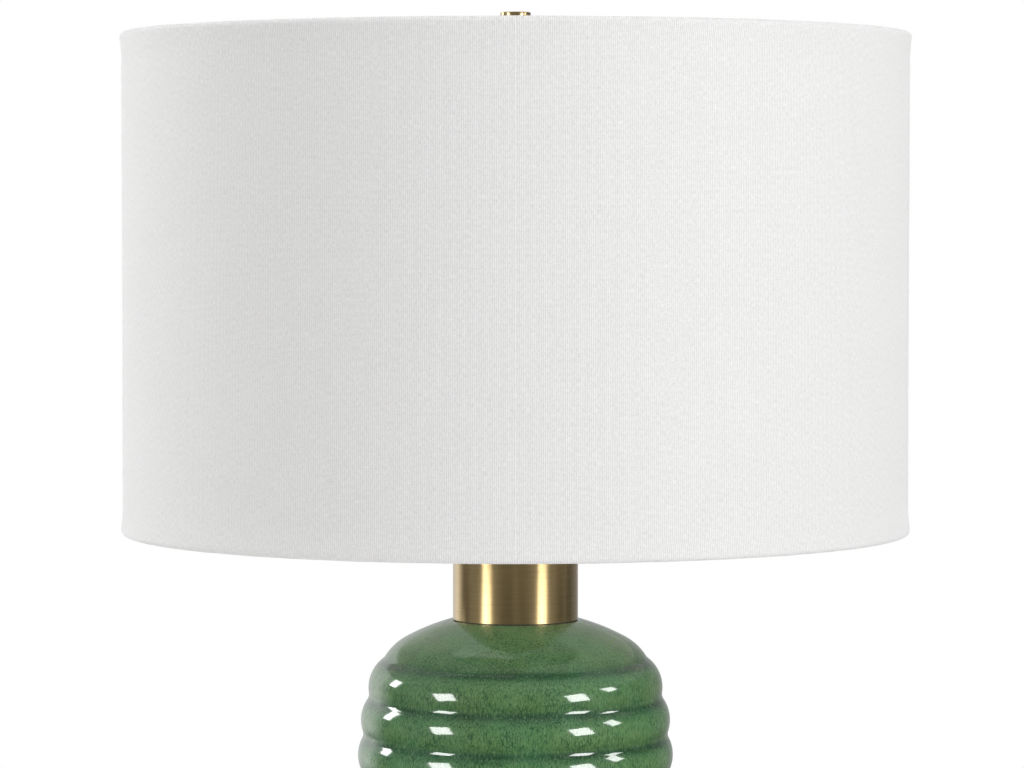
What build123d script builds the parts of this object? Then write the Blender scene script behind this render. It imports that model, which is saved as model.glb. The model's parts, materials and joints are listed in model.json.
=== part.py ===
from build123d import *
import math
import os

# A table lamp: ribbed ceramic jar on a brass foot, brass neck, lampholder, harp and linen drum shade.
# Millimetres. +Z is up, the lamp's axis is Z, and Z = 0 is the table top. The front is -Y, the back +Y.

# ---------------------------------------------------------------- clearances
FIT = 0.05  # radial, between a pin or pipe and its hole
EASY_FIT = 0.4  # radial, between a pressed plate and the cup that holds it
HAIR = 0.05  # between two glued skins

# ---------------------------------------------------------------- foot
FELT_T = 3.0
FELT_INSET = 1.5  # felt edge to the cup's inner wall
FELT_PROUD = 1.5  # how far the felt stands below the cup's lip
CUP_R = 70.0
CUP_H = 20.0
CUP_WALL = 1.2
CUP_EDGE_R = 3.0
COVER_T = 1.5
CORD_BORE_R = 3.6
BUSHING_BODY_R = 5.0
BUSHING_FLANGE_R = 7.0
BUSHING_FLANGE_T = 1.5
BUSHING_LENGTH = 8.0
BUSHING_LIP_R = 5.8
BUSHING_LIP_GAP = 1.0  # from the lip to the cup's inner wall
FOOT_GASKET_T = 1.0
FOOT_RING_W = 12.0  # width of the unglazed ring that the jar stands on
FOOT_GASKET_INSET = 1.5

# ---------------------------------------------------------------- jar
JAR_H = 297.3
JAR_WALL = 5.0
JAR_FOOT_R = 58.0
JAR_VALLEY_R = 79.5  # radius of the valleys between ribs, at the widest level
JAR_WIDEST_BELOW_TOP = 91.8
SHOULDER_RISE = 99.0
SHOULDER_POWER = 3.1
TAPER_POWER = 1.9
RIB_PITCH = 20.0
RIB_R = 17.9
VALLEY_R = 6.0
FIRST_VALLEY_BELOW_TOP = 18.5
SHOULDER_KNEE_R = 58.0
SHOULDER_KNEE_BELOW_TOP = 9.7
SHOULDER_START_DEG = 16.0
MOUTH_LAND = 5.5  # width of ceramic under the neck, from its mouth out
RIM_BEYOND_NECK = 2.1  # flat rim that shows round the neck
PIPE_HOLE_GAP = 1.5
SAME_POINT = 0.01  # two corners nearer than this are one
FOOT_RECESS = 4.0

# ---------------------------------------------------------------- neck
NECK_R = 32.5
NECK_H = 53.4
NECK_WALL = 1.2
NECK_EDGE_R = 1.5
NECK_GASKET_T = 0.6
NECK_GASKET_W = 1.0
NECK_GASKET_INSET = 0.3
MOUTH_PLATE_T = 1.6
MOUTH_PLATE_DEPTH = 6.0

# ---------------------------------------------------------------- pipe and its fasteners
PIPE_R = 5.0
PIPE_WALL = 1.7
PIPE_TAIL = 3.0  # below the lower nut
NUT_WALL = 2.1  # least wall between a nut's hole and its flats
NUT_T = 5.0
WASHER_R = 14.0
WASHER_T = 1.5

# ---------------------------------------------------------------- lampholder
HUB_WALL = 2.45
HUB_H = 7.4
CAP_WALL = 0.8
CAP_DOME_H = 9.0
CAP_DOME_SAG = 2.25
CAP_RIM_H = 8.0
SHELL_WALL = 0.6
SHELL_H = 52.0
SHELL_LIP_GAP = 1.1  # from the screw shell out to the turned-in mouth
SHELL_ROUND = 1.2  # outside corner of the turned-in mouth
SHELL_BEAD_R = 0.5
SHELL_BEAD_BELOW_TOP = 9.0
SHELL_SEAT = 7.0  # how deep the shell sits in the cap
SLEEVE_PAPER_T = 0.7
SLEEVE_TOP_GAP = 1.8  # below the shell's mouth
CORE_GAP = 0.4
CORE_H = 20.0
CORE_RECESS = 4.0  # depth of the hollow under the core
CONTACT_BOSS_R = 6.4
SCREW_SHELL_WALL = 0.45
SCREW_SHELL_GAP = 2.15  # from the screw shell out to the paper sleeve
SCREW_SHELL_H = 27.0
CONTACT_BOSS_H = 1.5
CONTACT_STRIP_T = 0.4
CONTACT_STRIP_W = 5.0
CONTACT_STRIP_L = 8.0
CONTACT_FOLD_R = 0.8
CONTACT_RISE = 2.6
TERMINAL_HEAD_R = 2.8
TERMINAL_HEAD_T = 1.6
TERMINAL_SHANK_R = 1.6
TERMINAL_SHANK_L = 4.0
TERMINAL_ABOVE_CORE = 5.0
TERMINAL_FLAT_H = 12.0
SET_SCREW_R = 1.5
SET_SCREW_L = 3.6
SET_SCREW_ABOVE_HOLDER = 2.5
SWITCH_ABOVE_CORE = 12.5
SWITCH_SHAFT_R = 2.0
SWITCH_SHAFT_IN = 3.0
SWITCH_END_GAP = 1.0  # beyond the shaft's inner end
SWITCH_WINDOW_R = 3.4
KNOB_R = 6.5
KNOB_H = 12.0
KNOB_GAP = 3.0
KNOB_BORE_DEPTH = 9.0
KNOB_CROWN = 1.0
KNOB_COLLAR = 3.0  # plain band behind the flutes
KNOB_FLUTES = 16
KNOB_FLUTE_R = 0.6

# ---------------------------------------------------------------- bulb
BULB_R = 33.5
BULB_L = 127.0
BULB_WALL = 0.8
BULB_BASE_R = 13.0
BULB_BASE_WALL = 0.45
BULB_SKIRT_H = 21.0
BULB_SKIRT_TURN_IN = 0.7  # the skirt's end to the insulator's edge
BULB_NECK_SEAT = 7.0  # how deep the glass sits in the skirt
BULB_NECK_RISE = 6.25  # straight neck above the skirt
BULB_INSULATOR_H = 3.5
BULB_INSULATOR_TIP_R = 5.5
BULB_TIP_R = 4.5
BULB_TIP_H = 1.2
BULB_TIP_GAP = 0.3
BULB_SHOULDER_DEG = 38.0  # how far the round bulb runs below its widest level

# ---------------------------------------------------------------- harp
HARP_H = 228.6  # saddle underside to the seat that the shade rests on
HARP_WIRE_R = 1.7
HARP_LEG_GAP = 5.15  # from the cap's rim out to a leg's middle
HARP_WIDE_X = 57.0
HARP_TOP_X = 27.0
HARP_LEG_RISE = 55.0
HARP_WIDE_LOW = 90.0
HARP_SHOULDER_DROP = 42.0  # from the wire's flat top down to the widest level
HARP_BENDS = (40.0, 66.0, 100.0, 20.0)
SADDLE_T = 2.0
SADDLE_W = 14.0
SADDLE_BEND_R = 5.0
SADDLE_ARM_H = 13.0
LAP_R = 2.4
LAP_H = 12.0
LAP_GAP = 0.05
SLEEVE_WALL = 0.8
SLEEVE_L = 12.0
EYE_R = 5.5
EYE_T = 3.0
RIVET_R = 2.0
RIVET_HEAD_R = 3.4
RIVET_HEAD_T = 1.0
SEAT_R = 7.0
SEAT_T = 1.8
STUD_R = 3.175
STUD_L = 12.7
SEAT_WASHER_R = 8.0
SEAT_WASHER_T = 1.0

# ---------------------------------------------------------------- shade
SHADE_R = 203.2
SHADE_H = 258.1
FABRIC_T = 0.8
LINER_T = 0.5
RING_WIRE_R = 1.5
RING_GAP = 0.2  # between a ring's wire and the cloth rolled over it
RIM_BULGE = 1.0  # the rolled rims stand this far proud of the wall
RIM_BLEND_H = 9.0
TURN_IN_H = 10.0
SPIDER_HUB_R = 12.5
SPIDER_HUB_T = 2.8
SPIDER_DROP = 12.6  # from the shade's top edge down to the hub's top face
SPIDER_WIRE_R = 1.3
SPIDER_ARMS = 3
SPIDER_FIRST_DEG = 90.0
SPIDER_ARM_START = 8.6
ARM_NOTCH = 0.4

# ---------------------------------------------------------------- finial
FINIAL_R = 7.9
FINIAL_H = 23.8
FINIAL_EDGE = 0.7
FINIAL_FOOT_WALL = 1.2
FINIAL_FOOT_H = 1.6
INSERT_WALL = 1.525
INSERT_H = 15.0
INSERT_BORE_H = 11.5

# ---------------------------------------------------------------- radii, worked out from the above
FOOT_RING_IN_R = JAR_FOOT_R - FOOT_RING_W
MOUTH_R = NECK_R - MOUTH_LAND
MOUTH_RIM_R = NECK_R + RIM_BEYOND_NECK
PIPE_BORE_R = PIPE_R - PIPE_WALL
PIPE_HOLE_R = PIPE_R + PIPE_HOLE_GAP
NUT_ACROSS_FLATS = 2 * (PIPE_R + FIT + NUT_WALL)
HUB_R = PIPE_R + FIT + HUB_WALL
BULB_NECK_R = BULB_BASE_R - BULB_BASE_WALL - FIT
SCREW_SHELL_IN_R = BULB_BASE_R + FIT
SCREW_SHELL_OUT_R = SCREW_SHELL_IN_R + SCREW_SHELL_WALL
SHELL_R = SCREW_SHELL_OUT_R + SCREW_SHELL_GAP + SLEEVE_PAPER_T + HAIR + SHELL_WALL
SHELL_LIP_R = SCREW_SHELL_OUT_R + SHELL_LIP_GAP
CORE_R = SHELL_R - SHELL_WALL - SLEEVE_PAPER_T - CORE_GAP
SWITCH_SHAFT_OUT = SHELL_R + KNOB_GAP + KNOB_BORE_DEPTH
CAP_R = SHELL_R + FIT + CAP_WALL
HARP_LEG_X = CAP_R + HARP_LEG_GAP
ROLL_R = RING_WIRE_R + RING_GAP + FABRIC_T  # outside of the cloth rolled round a ring
RING_R = SHADE_R + RIM_BULGE - ROLL_R
LINER_OUT_R = SHADE_R - FABRIC_T - HAIR
LINER_IN_R = LINER_OUT_R - LINER_T
INSERT_R = STUD_R + FIT + INSERT_WALL
FINIAL_FOOT_R = INSERT_R + FIT + FINIAL_FOOT_WALL
BIG = 500.0  # longer than anything that is trimmed with it

# ---------------------------------------------------------------- levels, worked out from the above
CUP_LIP_Z = FELT_T - FELT_PROUD
CUP_TOP_Z = CUP_LIP_Z + CUP_H
CORD_INLET_Z = CUP_TOP_Z - CUP_EDGE_R - BUSHING_FLANGE_R
JAR_FOOT_Z = CUP_TOP_Z + FOOT_GASKET_T
JAR_TOP_Z = JAR_FOOT_Z + JAR_H
NECK_Z = JAR_TOP_Z + NECK_GASKET_T
NECK_TOP_Z = NECK_Z + NECK_H
SADDLE_Z = NECK_TOP_Z + NUT_T
HOLDER_Z = SADDLE_Z + SADDLE_T
DOME_Z = HOLDER_Z + HUB_H - CAP_WALL
CAP_RIM_Z = DOME_Z + CAP_DOME_H
SHELL_Z = CAP_RIM_Z + CAP_RIM_H - SHELL_SEAT
SHELL_TOP_Z = SHELL_Z + SHELL_H
CORE_Z = SHELL_Z + SHELL_WALL
CORE_TOP_Z = CORE_Z + CORE_H
SWITCH_Z = CORE_Z + SWITCH_ABOVE_CORE
CONTACT_Z = CORE_TOP_Z + CONTACT_BOSS_H
BULB_Z = CONTACT_Z + CONTACT_RISE + BULB_TIP_GAP
SKIRT_Z = BULB_Z + BULB_TIP_H + BULB_INSULATOR_H
SKIRT_TOP_Z = SKIRT_Z + BULB_SKIRT_H
BULB_TOP_Z = BULB_Z + BULB_L
LAP_Z = SADDLE_Z + SADDLE_ARM_H
SEAT_Z = SADDLE_Z + HARP_H
WIRE_TOP_Z = SEAT_Z - SEAT_T - HARP_WIRE_R
HUB_Z = SEAT_Z + SEAT_WASHER_T
FINIAL_Z = HUB_Z + SPIDER_HUB_T
SHADE_TOP_Z = FINIAL_Z + SPIDER_DROP
SHADE_Z = SHADE_TOP_Z - SHADE_H
TOP_RING_Z = SHADE_TOP_Z - ROLL_R
BOTTOM_RING_Z = SHADE_Z + ROLL_R


# ---------------------------------------------------------------- general forms
def plate(outer_r, bottom, height, bore_r=0.0):
    """Round plate, ring or tube about the lamp's axis."""
    face = Circle(outer_r)
    if bore_r > 0:
        face -= Circle(bore_r)
    return Pos(0, 0, bottom) * extrude(face, height)


def turned(outline):
    """Turn a closed outline drawn in (radius, height) about the lamp's axis."""
    return revolve(Plane.XZ * make_face(outline), Axis.Z)


def turned_points(*points, radii=None):
    """Turn a polygon; radii gives each corner's rounding, in the points' order."""
    if radii is None:
        return turned(Polyline(*points, close=True))
    return turned(FilletPolyline(*points, radius=radii, close=True))


def rod(start, end, radius):
    """Straight round bar between two points."""
    axis = Vector(*end) - Vector(*start)
    return extrude(Plane(origin=start, z_dir=axis) * Circle(radius), axis.length)


def along_y(radius, near, far, z):
    """Round bar parallel to Y, from y = near to y = far, at height z."""
    return rod((0, near, z), (0, far, z), radius)


def hexagon_nut(bottom):
    face = RegularPolygon(NUT_ACROSS_FLATS / 2, 6, major_radius=False) - Circle(PIPE_R + FIT)
    return Pos(0, 0, bottom) * extrude(face, NUT_T)


# ---------------------------------------------------------------- foot
def felt_pad():
    return plate(CUP_R - CUP_WALL - FELT_INSET, 0, FELT_T)


def base_cover():
    return plate(CUP_R - CUP_WALL - EASY_FIT, FELT_T, COVER_T)


def base_cup():
    """Spun brass cup, open side down, with a hole for the pipe and one for the cord's bushing."""
    inner_r = CUP_R - CUP_WALL
    inner_top = CUP_TOP_Z - CUP_WALL
    cup = turned_points(
        (PIPE_R + FIT, CUP_TOP_Z),
        (CUP_R, CUP_TOP_Z),
        (CUP_R, CUP_LIP_Z),
        (inner_r, CUP_LIP_Z),
        (inner_r, inner_top),
        (PIPE_R + FIT, inner_top),
        radii=(0, CUP_EDGE_R, 0, 0, CUP_EDGE_R - CUP_WALL, 0),
    )
    return cup - along_y(BUSHING_BODY_R + FIT, 0, BIG, CORD_INLET_Z)


def cord_bushing():
    """Push-in bushing whose flange follows the round wall of the cup."""
    outer = CUP_R + BUSHING_FLANGE_T
    inner = outer - BUSHING_LENGTH
    wall_inside = CUP_R - CUP_WALL
    body = along_y(BUSHING_BODY_R, inner, outer, CORD_INLET_Z)
    body += along_y(BUSHING_FLANGE_R, wall_inside, outer, CORD_INLET_Z)
    body += along_y(BUSHING_LIP_R, inner, wall_inside - BUSHING_LIP_GAP, CORD_INLET_Z)
    cup_wall = plate(CUP_R, CUP_LIP_Z, CUP_H, wall_inside)
    body -= cup_wall - along_y(BUSHING_BODY_R + FIT, 0, BIG, CORD_INLET_Z)
    return body - along_y(CORD_BORE_R, 0, BIG, CORD_INLET_Z)


def foot_gasket():
    return plate(
        JAR_FOOT_R - FOOT_GASKET_INSET,
        CUP_TOP_Z,
        FOOT_GASKET_T,
        FOOT_RING_IN_R + FOOT_GASKET_INSET,
    )


# ---------------------------------------------------------------- jar
def valley_radius(z):
    """Radius of the valleys between ribs: a full shoulder above the widest level, a slow taper below."""
    widest_z = JAR_TOP_Z - JAR_WIDEST_BELOW_TOP
    if z >= widest_z:
        share = (z - widest_z) / SHOULDER_RISE
        return JAR_VALLEY_R * (1 - share**SHOULDER_POWER) ** (1 / SHOULDER_POWER)
    share = (widest_z - z) / (widest_z - JAR_FOOT_Z)
    return JAR_VALLEY_R - (JAR_VALLEY_R - JAR_FOOT_R) * share**TAPER_POWER


def valley_points():
    """Where neighbouring ribs meet, from the shoulder down to the foot."""
    first = JAR_TOP_Z - FIRST_VALLEY_BELOW_TOP
    ribs = round((first - JAR_FOOT_Z) / RIB_PITCH)
    pitch = (first - JAR_FOOT_Z) / ribs
    levels = [first - pitch * n for n in range(ribs + 1)]
    return [(valley_radius(z), z) for z in levels]


def jar_outside():
    """The jar as a solid body: flat mouth rim, domed shoulder, then one convex rib after another."""
    valleys = valley_points()
    rim = (MOUTH_RIM_R, JAR_TOP_Z)
    knee = (SHOULDER_KNEE_R, JAR_TOP_Z - SHOULDER_KNEE_BELOW_TOP)
    slope = math.radians(SHOULDER_START_DEG)
    dome = TangentArc(rim, knee, tangent=(math.cos(slope), -math.sin(slope)))
    edge = TangentArc(knee, valleys[0], tangent=dome % 1)
    ribs = [RadiusArc(a, b, RIB_R) for a, b in zip(valleys, valleys[1:])]
    foot_r, foot_z = valleys[-1]
    inside = Polyline((foot_r, foot_z), (0, foot_z), (0, JAR_TOP_Z), rim)
    face = make_face([dome, edge, *ribs, *inside.edges()])
    meeting = [Vector(r, z) for r, z in valleys[:-1]]
    creases = [v for v in face.vertices() if any((Vector(v) - m).length < SAME_POINT for m in meeting)]
    return revolve(Plane.XZ * fillet(creases, VALLEY_R), Axis.Z)


def jar_cavity():
    """Hollow of the slip-cast body: it follows the valleys one wall further in."""
    floor_z = JAR_FOOT_Z + FOOT_RECESS + JAR_WALL
    top_z = JAR_TOP_Z - SHOULDER_KNEE_BELOW_TOP - JAR_WALL
    wall = [(r - JAR_WALL, z) for r, z in valley_points() if floor_z + JAR_WALL < z < top_z]
    low, high = wall[-1], wall[0]
    third = len(wall) // 3
    side = Spline([low, wall[2 * third], wall[third], wall[1], high])
    close = Polyline(
        high,
        (SHOULDER_KNEE_R - JAR_WALL, top_z),
        (MOUTH_R, JAR_TOP_Z - JAR_WALL),
        (MOUTH_R, JAR_TOP_Z),
        (0, JAR_TOP_Z),
        (0, floor_z),
        (low[0] - JAR_WALL, floor_z),
        low,
    )
    return turned([side, *close.edges()])


def jar():
    """Ceramic body with an open mouth, a hole in its floor for the pipe and a recessed foot."""
    body = jar_outside() - jar_cavity()
    body -= plate(PIPE_HOLE_R, JAR_FOOT_Z, JAR_H)
    return body - plate(FOOT_RING_IN_R, JAR_FOOT_Z, FOOT_RECESS)


# ---------------------------------------------------------------- neck
def mouth_plate():
    """Pressed dish that sits in the jar's mouth and centres the neck and the pipe."""
    plug_r = MOUTH_R - EASY_FIT
    flange_r = NECK_R - NECK_WALL - EASY_FIT
    flange_top = JAR_TOP_Z + MOUTH_PLATE_T
    dish_z = JAR_TOP_Z - MOUTH_PLATE_DEPTH
    return turned_points(
        (PIPE_R + FIT, dish_z),
        (plug_r, dish_z),
        (plug_r, JAR_TOP_Z),
        (flange_r, JAR_TOP_Z),
        (flange_r, flange_top),
        (plug_r - MOUTH_PLATE_T, flange_top),
        (plug_r - MOUTH_PLATE_T, dish_z + MOUTH_PLATE_T),
        (PIPE_R + FIT, dish_z + MOUTH_PLATE_T),
    )


def neck_gasket():
    outer_r = NECK_R - NECK_GASKET_INSET
    return plate(outer_r, JAR_TOP_Z, NECK_GASKET_T, outer_r - NECK_GASKET_W)


def neck_collar():
    """Brass tube closed at the top, over the jar's mouth."""
    inner_r = NECK_R - NECK_WALL
    inner_top = NECK_TOP_Z - NECK_WALL
    return turned_points(
        (PIPE_R + FIT, NECK_TOP_Z),
        (NECK_R, NECK_TOP_Z),
        (NECK_R, NECK_Z),
        (inner_r, NECK_Z),
        (inner_r, inner_top),
        (PIPE_R + FIT, inner_top),
        radii=(0, NECK_EDGE_R, 0, 0, 0, 0),
    )


# ---------------------------------------------------------------- pipe and its fasteners
def lower_nut_z():
    return CUP_TOP_Z - CUP_WALL - WASHER_T - NUT_T


def lamp_pipe():
    bottom = lower_nut_z() - PIPE_TAIL
    top = HOLDER_Z + HUB_H - CAP_WALL
    return plate(PIPE_R, bottom, top - bottom, PIPE_BORE_R)


def pipe_nuts():
    """One nut under the foot and one on top of the neck clamp the ceramic between them."""
    return Compound([hexagon_nut(lower_nut_z()), hexagon_nut(NECK_TOP_Z)])


def pipe_washer():
    return plate(WASHER_R, lower_nut_z() + NUT_T, WASHER_T, PIPE_R + FIT)


# ---------------------------------------------------------------- lampholder
def socket_cap():
    """Turned cap: a threaded hub on the pipe, a dome, and a rim that grips the shell."""
    rim_in = SHELL_R + FIT
    rim_out = CAP_R
    rim_top = CAP_RIM_Z + CAP_RIM_H
    hub_top = HOLDER_Z + HUB_H
    outer = [
        Line((PIPE_R + FIT, HOLDER_Z), (HUB_R, HOLDER_Z)),
        Line((HUB_R, HOLDER_Z), (HUB_R, DOME_Z)),
        SagittaArc((HUB_R, DOME_Z), (rim_out, CAP_RIM_Z), -CAP_DOME_SAG),
        Line((rim_out, CAP_RIM_Z), (rim_out, rim_top)),
    ]
    inner = [
        Line((rim_out, rim_top), (rim_in, rim_top)),
        Line((rim_in, rim_top), (rim_in, CAP_RIM_Z + FIT)),
        SagittaArc((rim_in, CAP_RIM_Z + FIT), (HUB_R, hub_top), CAP_DOME_SAG),
        Line((HUB_R, hub_top), (PIPE_R + FIT, hub_top)),
        Line((PIPE_R + FIT, hub_top), (PIPE_R + FIT, HOLDER_Z)),
    ]
    hole = along_y(SET_SCREW_R + FIT, 0, HUB_R + CAP_WALL, HOLDER_Z + SET_SCREW_ABOVE_HOLDER)
    return turned(outer + inner) - hole


def cap_set_screw():
    """Grub screw in the hub that locks the cap to the pipe."""
    start = PIPE_R + HAIR
    return along_y(SET_SCREW_R, start, start + SET_SCREW_L, HOLDER_Z + SET_SCREW_ABOVE_HOLDER)


def switch_window(radius):
    return along_y(radius, -BIG, 0, SWITCH_Z)


def socket_shell():
    """Brass outer shell: a raised bead, a turned-in mouth and a window for the switch shaft."""
    inner_r = SHELL_R - SHELL_WALL
    lip_z = SHELL_TOP_Z - SHELL_WALL
    shell = turned_points(
        (SHELL_R, SHELL_Z),
        (SHELL_R, SHELL_TOP_Z),
        (SHELL_LIP_R, SHELL_TOP_Z),
        (SHELL_LIP_R, lip_z),
        (inner_r, lip_z),
        (inner_r, SHELL_Z),
        radii=(0, SHELL_ROUND, 0, 0, SHELL_ROUND - SHELL_WALL, 0),
    )
    shell += Pos(0, 0, SHELL_TOP_Z - SHELL_BEAD_BELOW_TOP) * Torus(SHELL_R, SHELL_BEAD_R)
    return shell - switch_window(SWITCH_WINDOW_R)


def insulating_sleeve():
    outer_r = SHELL_R - SHELL_WALL - HAIR
    height = SHELL_H - SLEEVE_TOP_GAP
    tube = plate(outer_r, SHELL_Z, height, outer_r - SLEEVE_PAPER_T)
    return tube - switch_window(SWITCH_WINDOW_R)


def socket_core():
    """Moulded core of the switch: a pocket for the shaft, a flat for each terminal screw."""
    core = plate(CORE_R, CORE_Z, CORE_H)
    core += plate(CONTACT_BOSS_R, CORE_TOP_Z, CONTACT_BOSS_H)
    core -= plate(CONTACT_BOSS_R, CORE_Z, CORE_RECESS)
    shaft_end = SWITCH_SHAFT_IN + SWITCH_END_GAP
    core -= along_y(SWITCH_SHAFT_R + FIT, -SHELL_R, shaft_end, SWITCH_Z)
    level = CORE_Z + TERMINAL_ABOVE_CORE
    for side in (-1, 1):
        flat = Box(2 * (TERMINAL_HEAD_T + FIT), 2 * CORE_R, TERMINAL_FLAT_H)
        core -= Pos(side * CORE_R, 0, level) * flat
        bottom_x = side * (CORE_R - TERMINAL_HEAD_T - TERMINAL_SHANK_L - FIT)
        core -= rod((bottom_x, 0, level), (side * CORE_R, 0, level), TERMINAL_SHANK_R + FIT)
    return core


def terminal_screws():
    """Two wire-clamping screws on the core's flats."""
    level = CORE_Z + TERMINAL_ABOVE_CORE
    screws = []
    for side in (-1, 1):
        face_x = side * (CORE_R - TERMINAL_HEAD_T - FIT)
        head = rod((face_x, 0, level), (face_x + side * TERMINAL_HEAD_T, 0, level), TERMINAL_HEAD_R)
        shank = rod((face_x, 0, level), (face_x - side * TERMINAL_SHANK_L, 0, level), TERMINAL_SHANK_R)
        screws.append(head + shank)
    return Compound(screws)


def screw_shell():
    """Threaded liner that takes the bulb's skirt, with a floor round the contact boss."""
    tube = plate(SCREW_SHELL_OUT_R, CORE_TOP_Z, SCREW_SHELL_H, SCREW_SHELL_IN_R)
    return tube + plate(SCREW_SHELL_OUT_R, CORE_TOP_Z, SCREW_SHELL_WALL, CONTACT_BOSS_R + FIT)


def centre_contact():
    """Springy strip folded back over itself under the bulb's tip."""
    low = CONTACT_Z + CONTACT_STRIP_T / 2
    high = CONTACT_Z + CONTACT_RISE - CONTACT_STRIP_T / 2
    reach = CONTACT_STRIP_L / 2
    corners = [(-reach, low), (reach, low), (reach, high), (-reach, high)]
    path = FilletPolyline(*corners, radius=CONTACT_FOLD_R)
    return extrude(Plane.XZ * trace(path, CONTACT_STRIP_T), CONTACT_STRIP_W / 2, both=True)


def switch_shaft():
    return along_y(SWITCH_SHAFT_R, -SWITCH_SHAFT_OUT, SWITCH_SHAFT_IN, SWITCH_Z)


def switch_knob():
    """Turn knob with a fluted rim and a crowned face, pressed on the shaft."""
    back = -(SHELL_R + KNOB_GAP)
    front = back - KNOB_H
    knob = along_y(KNOB_R, front, back, SWITCH_Z)
    knob = fillet(knob.edges().sort_by(Axis.Y)[0], KNOB_CROWN)
    for n in range(KNOB_FLUTES):
        turn = 2 * math.pi * n / KNOB_FLUTES
        spot = (KNOB_R * math.cos(turn), front, SWITCH_Z + KNOB_R * math.sin(turn))
        knob -= rod(spot, (spot[0], back - KNOB_COLLAR, spot[2]), KNOB_FLUTE_R)
    return knob - along_y(SWITCH_SHAFT_R + HAIR, -SWITCH_SHAFT_OUT - HAIR, 0, SWITCH_Z)


# ---------------------------------------------------------------- bulb
def bulb_outline(inset):
    """Half section of the glass: a round head that draws in to a straight neck."""
    head_z = BULB_TOP_Z - BULB_R
    radius = BULB_R - inset
    low = math.radians(BULB_SHOULDER_DEG)
    waist = (radius * math.cos(low), head_z - radius * math.sin(low))
    neck_r = BULB_NECK_R - inset
    neck_z = SKIRT_TOP_Z + BULB_NECK_RISE
    head = ThreePointArc((0, head_z + radius), (radius, head_z), waist)
    throat = Spline([waist, (neck_r, neck_z)], tangents=[head % 1, (0, -1)])
    bottom = SKIRT_TOP_Z - BULB_NECK_SEAT
    close = Polyline((neck_r, neck_z), (neck_r, bottom), (0, bottom), (0, head_z + radius))
    return [head, throat, *close.edges()]


def bulb_glass():
    return turned(bulb_outline(0)) - turned(bulb_outline(BULB_WALL))


def bulb_screw_base():
    """Thin metal skirt that screws into the lampholder; the glass neck sits in its mouth."""
    return turned_points(
        (BULB_BASE_R, SKIRT_Z),
        (BULB_BASE_R, SKIRT_TOP_Z),
        (BULB_NECK_R + FIT, SKIRT_TOP_Z),
        (BULB_NECK_R + FIT, SKIRT_Z + BULB_BASE_WALL),
        (BULB_TIP_R, SKIRT_Z + BULB_BASE_WALL),
        (BULB_TIP_R, SKIRT_Z),
    )


def bulb_insulator():
    bottom = SKIRT_Z - BULB_INSULATOR_H
    return turned_points(
        (0, SKIRT_Z),
        (BULB_BASE_R - BULB_SKIRT_TURN_IN, SKIRT_Z),
        (BULB_INSULATOR_TIP_R, bottom),
        (0, bottom),
    )


def bulb_contact():
    return plate(BULB_TIP_R, BULB_Z, BULB_TIP_H)


# ---------------------------------------------------------------- harp
def half_round(side, inner, bottom):
    """One half of the lapped joint between a harp foot and its tongue: the inner or the outer half."""
    height = LAP_Z + LAP_H - bottom
    bar = Pos(HARP_LEG_X, 0, 0) * plate(LAP_R, bottom, height)
    middle_x = HARP_LEG_X - LAP_GAP - LAP_R if inner else HARP_LEG_X + LAP_R
    half = bar & Pos(middle_x, 0, bottom + height / 2) * Box(2 * LAP_R, 2 * LAP_R, height)
    return half if side > 0 else Rot(0, 0, 180) * half


def harp_saddle():
    """Strap under the lampholder, bent up at both ends into half-round tongues."""
    arm_x = HARP_LEG_X - LAP_GAP - SADDLE_T / 2
    level = SADDLE_Z + SADDLE_T / 2
    path = FilletPolyline(
        (-arm_x, LAP_Z),
        (-arm_x, level),
        (arm_x, level),
        (arm_x, LAP_Z),
        radius=SADDLE_BEND_R,
    )
    strap = extrude(Plane.XZ * trace(path, SADDLE_T), SADDLE_W / 2, both=True)
    strap -= plate(PIPE_R + FIT, 0, BIG)
    for side in (-1, 1):
        strap += half_round(side, True, LAP_Z)
    return strap


def harp_path():
    """Centre line of the wire: straight legs, a wide bow and a flat top."""
    low = SADDLE_Z + HARP_LEG_RISE
    right = [
        (HARP_LEG_X, LAP_Z + LAP_H),
        (HARP_LEG_X, low),
        (HARP_WIDE_X, SADDLE_Z + HARP_WIDE_LOW),
        (HARP_WIDE_X, WIRE_TOP_Z - HARP_SHOULDER_DROP),
        (HARP_TOP_X, WIRE_TOP_Z),
    ]
    left = [(-x, z) for x, z in reversed(right)]
    line = FilletPolyline(*right, *left, radius=(*HARP_BENDS, *reversed(HARP_BENDS)))
    return Plane.XZ * line


def harp():
    """Bent wire with half-round feet and a pierced eye at the top."""
    path = harp_path()
    wire = sweep(Plane(origin=path @ 0, z_dir=path % 0) * Circle(HARP_WIRE_R), path)
    eye_z = SEAT_Z - SEAT_T - EYE_T
    wire += plate(EYE_R, eye_z, EYE_T)
    for side in (-1, 1):
        wire += half_round(side, False, LAP_Z + FIT)
    return wire - plate(RIVET_R + FIT, 0, SEAT_Z)


def harp_stud():
    """Seat flange with the threaded post above it and a rivet through the eye below it."""
    stud = plate(SEAT_R, SEAT_Z - SEAT_T, SEAT_T)
    stud += plate(STUD_R, SEAT_Z, STUD_L)
    rivet_bottom = WIRE_TOP_Z - HARP_WIRE_R
    stud += plate(RIVET_R, rivet_bottom, SEAT_Z - rivet_bottom - SEAT_T)
    return stud + plate(RIVET_HEAD_R, rivet_bottom - RIVET_HEAD_T, RIVET_HEAD_T)


def harp_sleeve(side):
    """Ferrule that locks a harp foot to its tongue and slides up the leg to free it."""
    inner_r = LAP_R + FIT
    ring = Circle(inner_r + SLEEVE_WALL) - Circle(inner_r)
    return Pos(side * HARP_LEG_X, 0, LAP_Z + HAIR) * extrude(ring, SLEEVE_L)


def seat_washer():
    return plate(SEAT_WASHER_R, SEAT_Z, SEAT_WASHER_T, STUD_R + FIT)


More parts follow.
